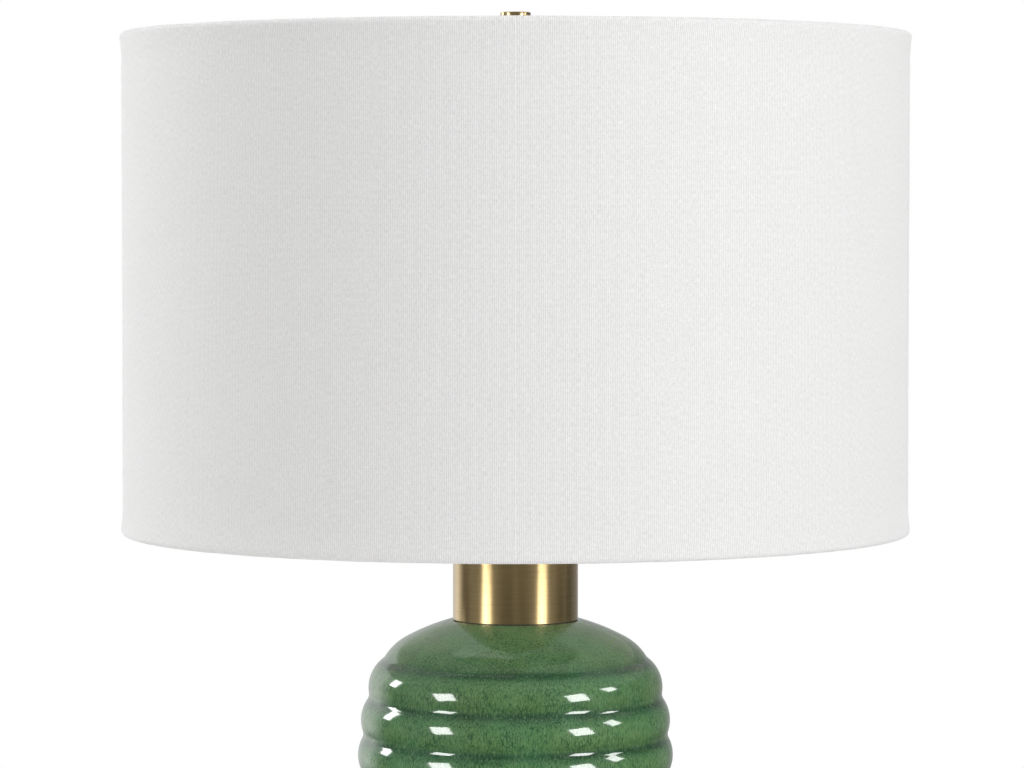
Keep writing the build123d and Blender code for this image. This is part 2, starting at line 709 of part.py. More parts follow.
# ---------------------------------------------------------------- shade
def arm_angles():
    return [SPIDER_FIRST_DEG + 360 * n / SPIDER_ARMS for n in range(SPIDER_ARMS)]


def spider_arm(radius, start, end):
    """Bar of the given radius on one arm's sloping line, between two distances from the lamp's axis."""
    hub_level = HUB_Z + SPIDER_HUB_T / 2
    rise = (TOP_RING_Z - hub_level) / (RING_R - SPIDER_ARM_START)
    low = hub_level + (start - SPIDER_ARM_START) * rise
    high = hub_level + (end - SPIDER_ARM_START) * rise
    return rod((start, 0, low), (end, 0, high), radius)


def top_ring():
    return Pos(0, 0, TOP_RING_Z) * Torus(RING_R, RING_WIRE_R)


def bottom_ring():
    return Pos(0, 0, BOTTOM_RING_Z) * Torus(RING_R, RING_WIRE_R)


def spider_arms():
    """Three wires from the hub up to the top ring, each coped to the ring's wire."""
    arm = spider_arm(SPIDER_WIRE_R, SPIDER_ARM_START, RING_R) - top_ring()
    arm = arm.solids().sort_by(SortBy.VOLUME)[-1]
    return Compound([Rot(0, 0, angle) * arm for angle in arm_angles()])


def spider_hub():
    """Washer that drops over the harp's post, with a socket for each arm."""
    hub = plate(SPIDER_HUB_R, HUB_Z, SPIDER_HUB_T, STUD_R + FIT)
    for angle in arm_angles():
        hub -= Rot(0, 0, angle) * spider_arm(SPIDER_WIRE_R, SPIDER_ARM_START, SPIDER_HUB_R * 2)
    return hub


def cloth_end(ring_z, up):
    """Section of the cloth at one end: off the wall, over the ring's wire and down again inside."""
    inner = ROLL_R - FABRIC_T
    wall_z = ring_z - up * RIM_BLEND_H
    hem_z = ring_z - up * TURN_IN_H
    hem_r = LINER_IN_R - HAIR
    return [
        Line((SHADE_R, wall_z), (RING_R + ROLL_R, ring_z)),
        ThreePointArc((RING_R + ROLL_R, ring_z), (RING_R, ring_z + up * ROLL_R), (RING_R - ROLL_R, ring_z)),
        Line((RING_R - ROLL_R, ring_z), (hem_r - FABRIC_T, hem_z)),
        Line((hem_r - FABRIC_T, hem_z), (hem_r, hem_z)),
        Line((hem_r, hem_z), (RING_R - inner, ring_z)),
        ThreePointArc((RING_R - inner, ring_z), (RING_R, ring_z + up * inner), (RING_R + inner, ring_z)),
        Line((RING_R + inner, ring_z), (SHADE_R - FABRIC_T, wall_z)),
    ]


def shade_fabric():
    """Linen drum, rolled over the wire rings at both ends and slit where the arms pass."""
    low = BOTTOM_RING_Z + RIM_BLEND_H
    high = TOP_RING_Z - RIM_BLEND_H
    walls = [Line((r, low), (r, high)) for r in (SHADE_R, SHADE_R - FABRIC_T)]
    cloth = turned([*walls, *cloth_end(TOP_RING_Z, 1), *cloth_end(BOTTOM_RING_Z, -1)])
    for angle in arm_angles():
        slit = spider_arm(SPIDER_WIRE_R + ARM_NOTCH, RING_R - ROLL_R * 2, RING_R)
        cloth -= Rot(0, 0, angle) * slit
    return cloth


def shade_liner():
    """Stiff white sheet that the linen is laid on, between the two rings."""
    bottom = BOTTOM_RING_Z + ROLL_R
    return plate(LINER_OUT_R, bottom, TOP_RING_Z - ROLL_R - bottom, LINER_IN_R)


# ---------------------------------------------------------------- finial
def finial_insert():
    """Threaded bush inside the finial, blind at the top."""
    bush = plate(INSERT_R, FINIAL_Z, INSERT_H)
    return bush - plate(STUD_R + FIT, FINIAL_Z, INSERT_BORE_H)


def finial_knob():
    """Flat-topped brass cylinder on a small foot."""
    top = FINIAL_Z + FINIAL_H
    return turned_points(
        (INSERT_R + FIT, FINIAL_Z),
        (FINIAL_FOOT_R, FINIAL_Z),
        (FINIAL_FOOT_R, FINIAL_Z + FINIAL_FOOT_H),
        (FINIAL_R, FINIAL_Z + FINIAL_FOOT_H),
        (FINIAL_R, top),
        (0, top),
        (0, FINIAL_Z + INSERT_H),
        (INSERT_R + FIT, FINIAL_Z + INSERT_H),
        radii=(0, 0, 0, FINIAL_EDGE, FINIAL_EDGE, 0, 0, 0),
    )


NODES = {
    "felt_pad": felt_pad,
    "base_cover": base_cover,
    "base_cup": base_cup,
    "cord_bushing": cord_bushing,
    "foot_gasket": foot_gasket,
    "jar": jar,
    "mouth_plate": mouth_plate,
    "neck_gasket": neck_gasket,
    "neck_collar": neck_collar,
    "lamp_pipe": lamp_pipe,
    "pipe_nuts": pipe_nuts,
    "pipe_washer": pipe_washer,
    "socket_cap": socket_cap,
    "cap_set_screw": cap_set_screw,
    "socket_shell": socket_shell,
    "insulating_sleeve": insulating_sleeve,
    "socket_core": socket_core,
    "terminal_screws": terminal_screws,
    "screw_shell": screw_shell,
    "centre_contact": centre_contact,
    "switch_shaft": switch_shaft,
    "switch_knob": switch_knob,
    "bulb_glass": bulb_glass,
    "bulb_screw_base": bulb_screw_base,
    "bulb_insulator": bulb_insulator,
    "bulb_contact": bulb_contact,
    "harp_saddle": harp_saddle,
    "harp": harp,
    "harp_stud": harp_stud,
    "harp_sleeve_left": lambda: harp_sleeve(-1),
    "harp_sleeve_right": lambda: harp_sleeve(1),
    "seat_washer": seat_washer,
    "spider_hub": spider_hub,
    "spider_arms": spider_arms,
    "shade_top_ring": top_ring,
    "shade_bottom_ring": bottom_ring,
    "shade_fabric": shade_fabric,
    "shade_liner": shade_liner,
    "finial_insert": finial_insert,
    "finial_knob": finial_knob,
}

os.makedirs("parts", exist_ok=True)
for name, make in NODES.items():
    export_step(make(), f"parts/{name}.step")
    print("wrote", name)
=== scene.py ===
"""Looks of the table lamp: glaze, cloth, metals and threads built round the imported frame.

Shapes are worked out in mm. Sizes in materials and in the studio are in metres.
"""

import json
import math

import bmesh
import bpy
import numpy as np
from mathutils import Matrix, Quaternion, Vector


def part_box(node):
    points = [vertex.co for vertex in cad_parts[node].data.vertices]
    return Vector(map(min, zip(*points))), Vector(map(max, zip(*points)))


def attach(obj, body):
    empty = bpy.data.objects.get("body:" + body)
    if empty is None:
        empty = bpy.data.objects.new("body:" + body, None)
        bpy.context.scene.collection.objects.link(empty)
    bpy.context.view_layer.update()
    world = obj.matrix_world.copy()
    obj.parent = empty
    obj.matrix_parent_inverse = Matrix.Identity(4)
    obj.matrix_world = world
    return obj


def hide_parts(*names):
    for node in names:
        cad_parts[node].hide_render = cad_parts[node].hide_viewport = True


MM = 0.001
MM_PER_M = 1000
INCH = 25.4
FULL_TURN = 2 * math.pi

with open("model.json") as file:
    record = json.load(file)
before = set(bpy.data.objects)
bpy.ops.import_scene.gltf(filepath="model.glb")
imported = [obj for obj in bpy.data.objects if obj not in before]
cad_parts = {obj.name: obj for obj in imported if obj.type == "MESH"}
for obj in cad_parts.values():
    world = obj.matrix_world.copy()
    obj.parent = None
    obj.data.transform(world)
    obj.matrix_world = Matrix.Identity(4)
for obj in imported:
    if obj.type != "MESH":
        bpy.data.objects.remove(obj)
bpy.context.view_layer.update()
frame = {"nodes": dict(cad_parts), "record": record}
nodes = frame["nodes"]


# ---------------------------------------------------------------- node building
class Nodes:
    """Short calls that add nodes to one node tree."""

    def __init__(self, tree):
        self.tree = tree

    def node(self, kind, inputs=None, **settings):
        made = self.tree.nodes.new("ShaderNode" + kind)
        for key, value in settings.items():
            setattr(made, key, value)
        for key, value in (inputs or {}).items():
            self.feed(made.inputs[key], value)
        return made

    def feed(self, socket, value):
        if isinstance(value, bpy.types.NodeSocket):
            self.tree.links.new(value, socket)
        else:
            socket.default_value = value

    def math(self, operation, a, b=0.0):
        return self.node("Math", {0: a, 1: b}, operation=operation).outputs[0]

    def total(self, *terms):
        """Sum of (weight, value) terms."""
        scaled = [self.math("MULTIPLY", value, weight) for weight, value in terms]
        result = scaled[0]
        for term in scaled[1:]:
            result = self.math("ADD", result, term)
        return result

    def ramp(self, share, *stops):
        """Colour or grey by share; each stop is (position, value)."""
        made = self.node("ValToRGB", {"Fac": share})
        elements = made.color_ramp.elements
        while len(elements) < len(stops):
            elements.new(0.5)
        for element, (position, value) in zip(elements, stops):
            grey = isinstance(value, (int, float))
            element.position = position
            element.color = (value, value, value, 1) if grey else (*value, 1)
        return made.outputs["Color"]


class Paint(Nodes):
    """A node material round one Principled shader. Constant values go straight on its sockets."""

    def __init__(self, name, values):
        self.material = bpy.data.materials.new("finish_" + name)
        self.material.use_nodes = True
        super().__init__(self.material.node_tree)
        self.shader = self.tree.nodes["Principled BSDF"]
        for socket, value in values.items():
            self.shader.inputs[socket].default_value = value

    def set(self, socket, value):
        self.feed(self.shader.inputs[socket], value)

    def at(self, stretch=(1, 1, 1), source="Object"):
        point = self.node("TexCoord").outputs[source]
        return self.node("Mapping", {"Vector": point, "Scale": stretch}).outputs[0]

    def noise(self, size, stretch=(1, 1, 1), detail=3.0, source="Object", warp=0.0):
        """Noise with lumps of about that size; stretch squeezes it along an axis."""
        where = self.at([s / size for s in stretch], source)
        inputs = {"Vector": where, "Scale": 1.0, "Detail": detail, "Distortion": warp}
        return self.node("TexNoise", inputs).outputs["Fac"]

    def mix(self, share, a, b):
        made = self.node("Mix", data_type="RGBA", blend_type="MIX")
        for key, value in ((0, share), (6, a), (7, b)):
            if isinstance(value, tuple) and len(value) == 3:
                value = (*value, 1)
            self.feed(made.inputs[key], value)
        return made.outputs[2]

    def bump(self, height, depth):
        return self.node("Bump", {"Height": height, "Distance": depth, "Strength": 1.0}).outputs[0]

    def attribute(self, name):
        return self.node("Attribute", attribute_name=name).outputs["Fac"]


# ---------------------------------------------------------------- materials
def glaze():
    """Glossy green crackle glaze. Under each crease is a dark band of painted shade, partly pooled glaze.
    Down each rib it has painted shade at the top and olive lower down, partly painted reflection of the floor
    and partly thinner glaze.
    """
    # Colours down each rib: painted shade just under the crease, lighter in the middle, and olive lower down
    # that is partly painted floor reflection and partly thinner glaze.
    rib_tone_and_painted_light = (
        (0.0, (0.042, 0.128, 0.048)),
        (0.16, (0.078, 0.200, 0.074)),
        (0.42, (0.128, 0.264, 0.098)),
        (0.78, (0.130, 0.240, 0.082)),
        (1.0, (0.086, 0.172, 0.056)),
    )
    # The first colour is the dark band under each crease: painted shade, partly pooled glaze.
    pooled_and_shaded, clouded = (0.008, 0.038, 0.014), (0.082, 0.250, 0.118)
    streaked, flecked, cracked = (0.020, 0.086, 0.038), (0.215, 0.372, 0.160), (0.012, 0.050, 0.022)
    cells_per_metre = 620.0

    gloss = {"Roughness": 0.12, "Specular IOR Level": 0.3, "Coat Weight": 0.5, "Coat Roughness": 0.02}
    p = Paint("glaze", gloss)
    drift = p.math("SUBTRACT", p.noise(0.022, stretch=(1, 1, 1.6)), 0.5)
    place = p.math("ADD", p.attribute("rib"), p.math("MULTIPLY", drift, 0.3))
    # Darken the band under each crease: painted shade, partly pooled glaze.
    base = p.mix(p.attribute("pool_and_shade"), p.ramp(place, *rib_tone_and_painted_light), pooled_and_shaded)
    cloud = p.ramp(p.noise(0.035, detail=2.0), (0.35, 0.0), (0.65, 1.0))
    base = p.mix(p.math("MULTIPLY", cloud, 0.45), base, clouded)
    streak = p.noise(0.00062, stretch=(1, 1, 0.22), warp=0.7)
    base = p.mix(p.ramp(streak, (0.36, 0.8), (0.52, 0.0)), base, streaked)
    fleck = p.noise(0.0007, stretch=(1, 1, 0.3), detail=2.0, warp=0.5)
    base = p.mix(p.ramp(fleck, (0.51, 0.0), (0.73, 0.55)), base, flecked)
    where = {"Vector": p.at(stretch=(1, 1, 0.45)), "Scale": cells_per_metre}
    cell = p.node("TexVoronoi", where, feature="DISTANCE_TO_EDGE")
    crack = p.ramp(cell.outputs["Distance"], (0.0, 1.0), (0.09, 0.0))
    patchy = p.ramp(p.noise(0.012, detail=2.0), (0.38, 0.0), (0.60, 0.8))
    base = p.mix(p.math("MULTIPLY", crack, patchy), base, cracked)
    p.set("Base Color", base)
    p.set("Normal", p.bump(p.noise(0.009, detail=1.0), depth=0.00008))
    return p


def brushed_brass():
    """Aged brass brushed round the lamp's axis."""
    tint = (0.60, 0.44, 0.205)
    dark = tuple(c * 0.8 for c in tint)
    body = {"Metallic": 1.0, "Roughness": 0.3, "Anisotropic": 0.9, "Anisotropic Rotation": 0.25}
    p = Paint("antique_brass", {**body, "Coat Weight": 0.5, "Coat Roughness": 0.2})
    p.set("Tangent", p.node("Tangent", direction_type="RADIAL", axis="Z").outputs[0])
    lines = p.noise(0.02, stretch=(1, 1, 45), detail=4.0)
    cloud = p.noise(0.03)
    colour = p.mix(p.ramp(lines, (0.3, 0.0), (0.7, 1.0)), dark, tint)
    colour = p.mix(p.ramp(cloud, (0.4, 0.0), (0.75, 0.22)), colour, dark)
    p.set("Base Color", colour)
    p.set("Normal", p.bump(lines, depth=0.00001))
    return p


def linen():
    """Plain weave: warp threads every 1.04 mm, weft about twice as fine, both uneven."""
    warp_pitch, weft_pitch = 0.00104, 0.00056
    shaded, bright = (0.768, 0.764, 0.762), (0.973, 0.969, 0.967)

    p = Paint("linen", {"Roughness": 0.95, "Sheen Weight": 0.08, "Specular IOR Level": 0.15})
    cloth = p.node("SeparateXYZ", {"Vector": p.node("TexCoord").outputs["UV"]}).outputs
    wander = p.noise(0.006, (1, 0.25, 1), 2.0, "UV")
    sag = p.noise(0.005, (0.3, 1, 1), 2.0, "UV")
    across = p.total((FULL_TURN / warp_pitch, cloth[0]), (1.6, wander))
    along = p.total((FULL_TURN / weft_pitch, cloth[1]), (1.8, sag))
    half_across = p.math("SINE", p.math("MULTIPLY", across, 0.5))
    half_along = p.math("SINE", p.math("MULTIPLY", along, 0.5))
    crossing = p.math("MULTIPLY", half_across, half_along)
    height = p.total((0.5, p.math("SINE", across)), (0.35, p.math("SINE", along)), (0.3, crossing))
    dash = p.noise(0.0007, (1, 0.3, 1), 1.0, "UV")
    slub = p.noise(0.0006, (0.25, 1, 1), 1.0, "UV")
    shade = p.total((0.38, height), (0.6, dash), (0.4, slub))
    p.set("Base Color", p.ramp(shade, (0.25, shaded), (0.75, bright)))
    p.set("Normal", p.bump(height, depth=0.00012))
    return p


def plain(name, low, high, size, rough, depth, stretch=(1, 1, 1), sockets=None):
    """Finish that drifts between two colours, with a surface grain of that size and depth."""
    p = Paint(name, {"Roughness": rough, **(sockets or {})})
    grain = p.noise(size, stretch, detail=4.0)
    p.set("Base Color", p.ramp(grain, (0.3, low), (0.7, high)))
    p.set("Normal", p.bump(grain, depth))
    return p


def metal(name, low, high, size, rough, depth=0.00001):
    return plain(name, low, high, size, rough, depth, sockets={"Metallic": 1.0})


FINISHES = {
    "felt": plain(
        "felt", (0.012, 0.016, 0.014), (0.035, 0.042, 0.037),
        size=0.0012, rough=0.95, depth=0.0003, sockets={"Sheen Weight": 0.4},
    ),
    "fibreboard": plain(
        "fibreboard", (0.20, 0.13, 0.075), (0.36, 0.25, 0.15),
        size=0.0018, rough=0.85, depth=0.0001, stretch=(1, 0.3, 1),
    ),
    "antique_brass": brushed_brass(),
    "black_plastic": plain(
        "black_plastic", (0.012, 0.012, 0.012), (0.026, 0.026, 0.027),
        size=0.0006, rough=0.38, depth=0.00002,
    ),
    # Dark rubber of the neck gasket; its thin dark line where the neck meets the jar is also a painted shadow
    # for that seam.
    "gasket_rubber": plain(
        "rubber", (0.045, 0.036, 0.024), (0.085, 0.068, 0.046),
        size=0.001, rough=0.75, depth=0.00004,
    ),
    "green_crackle_glaze": glaze(),
    "zinc_steel": metal("zinc", (0.52, 0.53, 0.54), (0.68, 0.68, 0.66), size=0.002, rough=0.32),
    "socket_brass": metal("socket_brass", (0.66, 0.50, 0.24), (0.80, 0.62, 0.33), size=0.006, rough=0.22),
    "insulating_paper": plain(
        "paper", (0.33, 0.22, 0.12), (0.48, 0.34, 0.20),
        size=0.0009, rough=0.8, depth=0.00005, stretch=(1, 1, 0.2),
    ),
    "contact_metal": metal("contact", (0.70, 0.44, 0.22), (0.86, 0.60, 0.34), size=0.0015, rough=0.3),
    "opal_glass": plain(
        "opal", (0.86, 0.86, 0.85), (0.93, 0.93, 0.92),
        size=0.004, rough=0.32, depth=0.000004,
        sockets={"Coat Weight": 0.3, "Subsurface Weight": 0.15, "Subsurface Scale": 0.004},
    ),
    "bulb_aluminium": metal("aluminium", (0.66, 0.67, 0.68), (0.80, 0.80, 0.80), size=0.0014, rough=0.28),
    "black_insulator": plain(
        "insulator", (0.010, 0.010, 0.014), (0.030, 0.028, 0.034),
        size=0.0015, rough=0.18, depth=0.00002,
    ),
    "solder": metal("solder", (0.50, 0.50, 0.51), (0.72, 0.72, 0.72), size=0.0013, rough=0.3, depth=0.0001),
    "white_wire": plain(
        "enamel", (0.72, 0.72, 0.71), (0.82, 0.82, 0.80),
        size=0.003, rough=0.3, depth=0.00003, sockets={"Coat Weight": 0.3},
    ),
    "white_linen": linen(),
    "white_styrene": plain(
        "styrene", (0.80, 0.79, 0.77), (0.86, 0.855, 0.84),
        size=0.012, rough=0.4, depth=0.00002,
    ),
}


def wear(piece, slot):
    """Give a piece one finish in place of whatever it had."""
    piece.data.materials.clear()
    piece.data.materials.append(FINISHES[slot].material)


for part in frame["record"]["subparts"]:
    wear(nodes[part["node"]], part["material_slot"])


# ---------------------------------------------------------------- mesh building
def short_way(turn):
    """The same turn between minus and plus half a turn."""
    return (turn + math.pi) % FULL_TURN - math.pi


def arc(centre, start, end, spacing):
    """Points on the shorter arc from start to end, spacing apart, without the last one."""
    first = math.atan2(start[1] - centre[1], start[0] - centre[0])
    last = math.atan2(end[1] - centre[1], end[0] - centre[0])
    turn = short_way(last - first)
    radius = math.hypot(start[0] - centre[0], start[1] - centre[1])
    count = max(2, math.ceil(radius * abs(turn) / spacing))
    angles = [first + turn * n / count for n in range(count)]
    return [(centre[0] + radius * math.cos(a), centre[1] + radius * math.sin(a)) for a in angles]


def line(start, end, spacing):
    """Points on a straight run, without the last one."""
    count = max(1, math.ceil(math.dist(start, end) / spacing))
    return [tuple(s + (e - s) * n / count for s, e in zip(start, end)) for n in range(count)]


def even(count):
    """Angles all the way round, equally far apart."""
    return [FULL_TURN * n / count for n in range(count)]


def spin(name, section, angles, body, slot, relief=None, closed=True):
    """Turn a section of (radius, height) points about the lamp's axis into a piece on that body.

    relief moves points: it takes and gives arrays of radius and height. A closed section joins its last
    point to its first. UVs are in metres: round the widest level, and along the section.
    """
    section = np.array(section, float)
    rows, columns = len(section), len(angles)
    r = np.repeat(section[:, 0], columns).reshape(rows, columns)
    z = np.repeat(section[:, 1], columns).reshape(rows, columns)
    turn = np.tile(angles, (rows, 1))
    if relief is not None:
        r, z = relief(r, z, turn)
    points = np.stack([r * np.sin(turn), -r * np.cos(turn), z], -1).reshape(-1, 3) * MM
    i, j = np.meshgrid(np.arange(rows if closed else rows - 1), np.arange(columns), indexing="ij")
    i, j = i.ravel(), j.ravel()
    below, beside = (i + 1) % rows, (j + 1) % columns
    upper, lower = i * columns, below * columns
    faces = np.stack([upper + j, lower + j, lower + beside, upper + beside], -1)
    mesh = bpy.data.meshes.new(name)
    mesh.from_pydata(points.tolist(), [], faces.tolist())
    steps = np.hypot(*np.diff(np.vstack([section, section[:1]]), axis=0).T)
    length = np.concatenate([[0], np.cumsum(steps)])
    full = np.append(angles, angles[0] + FULL_TURN)
    u = np.stack([full[j], full[j], full[j + 1], full[j + 1]], -1) * section[:, 0].max() * MM
    v = np.stack([length[i], length[i + 1], length[i + 1], length[i]], -1) * MM
    layer = mesh.uv_layers.new(name="UVMap")
    layer.data.foreach_set("uv", np.stack([u, v], -1).astype(np.float32).ravel())
    mesh.polygons.foreach_set("use_smooth", np.ones(len(faces), bool))
    piece = bpy.data.objects.new(name, mesh)
    bpy.context.scene.collection.objects.link(piece)
    wear(piece, slot)
    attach(piece, body)
    return piece


def ripple(turn, z, waves):
    """Sum of waves; each is (size, how many round the axis, mm of height for each radian, phase)."""
    return sum(size * np.sin(count * turn + z / climb + phase) for size, count, climb, phase in waves)


def per_point(piece, name, values, columns):
    """Store one number per section point as a mesh attribute."""
    made = piece.data.attributes.new(name, "FLOAT", "POINT")
    made.data.foreach_set("value", np.repeat(np.array(values, np.float32), columns))


def sharpen(piece, degrees=40):
    """Keep edges steeper than this crisp under smooth shading."""
    piece.data.set_sharp_from_angle(angle=math.radians(degrees))


# ---------------------------------------------------------------- jar
JAR_LOW, JAR_HIGH = (corner * MM_PER_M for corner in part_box("jar"))
JAR_FOOT_Z, JAR_TOP_Z = JAR_LOW.z, JAR_HIGH.z
WALL = 5.0
MOUTH_R, LIP_R, RIM_R = 27.0, 31.0, 34.6
RIM_SLOPE = math.radians(16)
KNEE_R, KNEE_Z = 58.0, JAR_TOP_Z - 9.7
FIRST_CREASE_Z = JAR_TOP_Z - 20.1
WIDEST_Z = JAR_TOP_Z - 91.8
WIDEST_CREASE_R, FOOT_R = 79.5, 58.0
DOME_H, DOME_POWER, TAPER_POWER = 99.0, 3.1, 1.9
RIB_PITCH, RIB_R, CREASE_R = 20.0, 17.9, 6.0
RECESS_H, RECESS_R, PIPE_HOLE_R = 4.0, 46.0, 6.5
RIB_STEP, CREASE_STEP, HIDDEN_STEP = 1.0, 0.6, 12
JAR_COLUMNS, INSIDE_LEVELS = 208, 24

# Place in a rib, for the glaze's colour with its painted shade and reflection: 0 just under the upper crease,
# 1 at the lower one.
RIB_START, RIB_END = 0.08, 0.95
SHOULDER_START, SHOULDER_END = 0.35, 0.75
INSIDE_PLACE = 0.5
# Dark band under each crease, painted shade that is partly pooled glaze: this far below the crease, and this
# half height.
SHADE_BAND_BELOW, SHADE_BAND_HALF_H = 0.9, 2.1
FRONT_DIP, CALM_H = 1.0, 12
THROWN_WAVES = [(0.10, 2, 31, 0.0), (0.07, 3, -17, 1.3), (0.05, 7, 9, 0.0)]
CREASE_WAVES = [(0.06, 5, 23, 0.0)]


def crease_radius(z):
    """The jar's outline through its creases: a superellipse above the widest level, a taper below."""
    if z >= WIDEST_Z:
        share = (z - WIDEST_Z) / DOME_H
        return WIDEST_CREASE_R * (1 - share**DOME_POWER) ** (1 / DOME_POWER)
    share = (WIDEST_Z - z) / (WIDEST_Z - JAR_FOOT_Z)
    return WIDEST_CREASE_R - (WIDEST_CREASE_R - FOOT_R) * share**TAPER_POWER


def tangent_centre(start, heading, end):
    """Centre of the circle that leaves start along heading and passes through end."""
    normal = Vector((-heading.y, heading.x))
    chord = end - start
    return start + normal * (chord.length_squared / (2 * normal.dot(chord)))


def rib_centre(upper, lower):
    """Centre of the bulge between two creases."""
    middle, chord = (upper + lower) / 2, lower - upper
    inward = Vector((chord.y, -chord.x)).normalized()
    return middle + inward * math.sqrt(RIB_R**2 - chord.length_squared / 4)


def hollow_centre(a, a_radius, b, b_radius, crease):
    """Centre of the small arc that eases the crease between two bulges."""
    from_a, from_b = a_radius + CREASE_R, b_radius + CREASE_R
    gap = b - a
    along = (from_a * from_a - from_b * from_b + gap.length_squared) / (2 * gap.length)
    side = math.sqrt(from_a * from_a - along * along)
    unit = gap.normalized()
    foot, across = a + unit * along, Vector((-unit.y, unit.x))
    return min((foot + across * side, foot - across * side), key=lambda c: (c - crease).length)


def jar_section():
    """The glazed outside from rim to foot.

    Gives its points, the place of each in its rib, from 0 at the top to 1, the share there of the
    dark band under each crease (painted shade, partly pooled glaze), and the corner at the foot.
    """
    count = round((FIRST_CREASE_Z - JAR_FOOT_Z) / RIB_PITCH)
    pitch = (FIRST_CREASE_Z - JAR_FOOT_Z) / count
    heights = [FIRST_CREASE_Z - pitch * n for n in range(count + 1)]
    creases = [Vector((crease_radius(z), z)) for z in heights]
    rim, knee = Vector((RIM_R, JAR_TOP_Z)), Vector((KNEE_R, KNEE_Z))
    dome = tangent_centre(rim, Vector((math.cos(RIM_SLOPE), -math.sin(RIM_SLOPE))), knee)
    out = knee - dome
    edge = tangent_centre(knee, Vector((out.y, -out.x)).normalized(), creases[0])
    centres = [edge] + [rib_centre(a, b) for a, b in zip(creases, creases[1:])]
    radii = [(knee - edge).length] + [RIB_R] * count

    runs = [(arc(dome, rim, knee, RIB_STEP), SHOULDER_START, SHOULDER_END)]
    start = knee
    for n in range(count):
        a, b = centres[n], centres[n + 1]
        hollow = hollow_centre(a, radii[n], b, radii[n + 1], creases[n])
        leave = a + (hollow - a) * (radii[n] / (radii[n] + CREASE_R))
        meet = b + (hollow - b) * (radii[n + 1] / (radii[n + 1] + CREASE_R))
        runs.append((arc(a, start, leave, RIB_STEP), RIB_START if n else SHOULDER_END, RIB_END))
        runs.append((arc(hollow, leave, meet, CREASE_STEP), RIB_END, RIB_START))
        start = meet
    runs.append((arc(centres[-1], start, creases[-1], RIB_STEP), 0.0, 1.0))

    points = [point for run, _, _ in runs for point in run]
    place = [low + (high - low) * n / len(run) for run, low, high in runs for n in range(len(run))]
    shade_band_levels = np.array(heights[:-1]) - SHADE_BAND_BELOW
    pooled_and_shaded = [float(np.exp(-((np.abs(shade_band_levels - z).min() / SHADE_BAND_HALF_H) ** 2))) for _, z in points]
    return points, place, pooled_and_shaded, creases[-1]


def jar_relief(r, z, turn):
    """Hand-thrown unevenness and a slight dip to the front, gone at the mouth and the foot."""
    calm = np.clip((JAR_TOP_Z - z) / CALM_H, 0, 1) * np.clip((z - JAR_FOOT_Z) / CALM_H, 0, 1)
    wave = ripple(turn, z, THROWN_WAVES)
    drop = -FRONT_DIP * np.cos(turn) + 0.12 * np.sin(turn * 2 + 0.7) * np.sin(z / 45)
    drop += ripple(turn, z, CREASE_WAVES)
    past_rim = r > RIM_R + 0.1
    return r + wave * calm * past_rim, z + drop * calm * past_rim


def jar_closing(foot):
    """From the foot's outer corner round the recess and the hollow inside, up to the mouth's lip."""
    recess_z = JAR_FOOT_Z + RECESS_H
    floor_z = recess_z + WALL
    inside = [(crease_radius(z) - WALL, z) for z in np.linspace(floor_z + 6, JAR_TOP_Z - 22, INSIDE_LEVELS)]
    under = [
        tuple(foot),
        (RECESS_R, JAR_FOOT_Z),
        (RECESS_R, recess_z),
        (PIPE_HOLE_R, recess_z),
        (PIPE_HOLE_R, floor_z),
        (inside[0][0] - 5, floor_z),
    ]
    points = [point for a, b in zip(under, under[1:]) for point in line(a, b, HIDDEN_STEP)]
    mouth = [(MOUTH_R, JAR_TOP_Z - WALL), (MOUTH_R, JAR_TOP_Z), (LIP_R, JAR_TOP_Z)]
    return [*points, under[-1], *inside, (KNEE_R - WALL, KNEE_Z - WALL), *mouth]


def make_jar():
    outside, place, pooled_and_shaded, foot = jar_section()
    closing = jar_closing(foot)
    columns = even(JAR_COLUMNS)
    jar = spin("glazed_jar", outside + closing, columns, "stand", "green_crackle_glaze", jar_relief)
    per_point(jar, "rib", place + [INSIDE_PLACE] * len(closing), JAR_COLUMNS)
    per_point(jar, "pool_and_shade", pooled_and_shaded + [0.0] * len(closing), JAR_COLUMNS)
    sharpen(jar)
    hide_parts("jar")


make_jar()


# ---------------------------------------------------------------- shade
LINEN_LOW, LINEN_HIGH = (corner * MM_PER_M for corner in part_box("shade_fabric"))
SHADE_R = 203.2
CLOTH_T = 0.8
ROLL_OUTSIDE_R = 2.5
ROLL_R = ROLL_OUTSIDE_R - CLOTH_T / 2
TOP_RING_Z, BOTTOM_RING_Z = LINEN_HIGH.z - ROLL_OUTSIDE_R, LINEN_LOW.z + ROLL_OUTSIDE_R
RING_R = LINEN_HIGH.x - ROLL_OUTSIDE_R
WALL_R, HEM_R = SHADE_R - CLOTH_T / 2, 201.4
HEM_H, ROLL_TAPER_H = 10, 9
ROLL_STEP, TAPER_STEP, WALL_STEP = 0.5, 1.2, 6
SEAM_AT = math.radians(168)
SEAM_HALF_W, SEAM_MARGIN, LAP_T, LAP_STEEPNESS = 6.0, 1.5, 0.5, 4
ARMS = [math.radians(a) for a in (180, 300, 60)]
SLIT_HALF_W, SLIT_SPREAD, SLIT_MARGIN, SLIT_TOP = 1.7, 0.09, 4.0, 1.6
LINEN_COLUMNS, FINE_COLUMNS = 300, 12
RIM_WAVES = [(0.09, 23, math.inf, 0.6), (0.07, 41, math.inf, 2.1), (0.05, 67, math.inf, 0.0)]
WALL_WAVES = [(0.06, 3, 60, 0.0), (0.04, 8, -35, 0.0)]


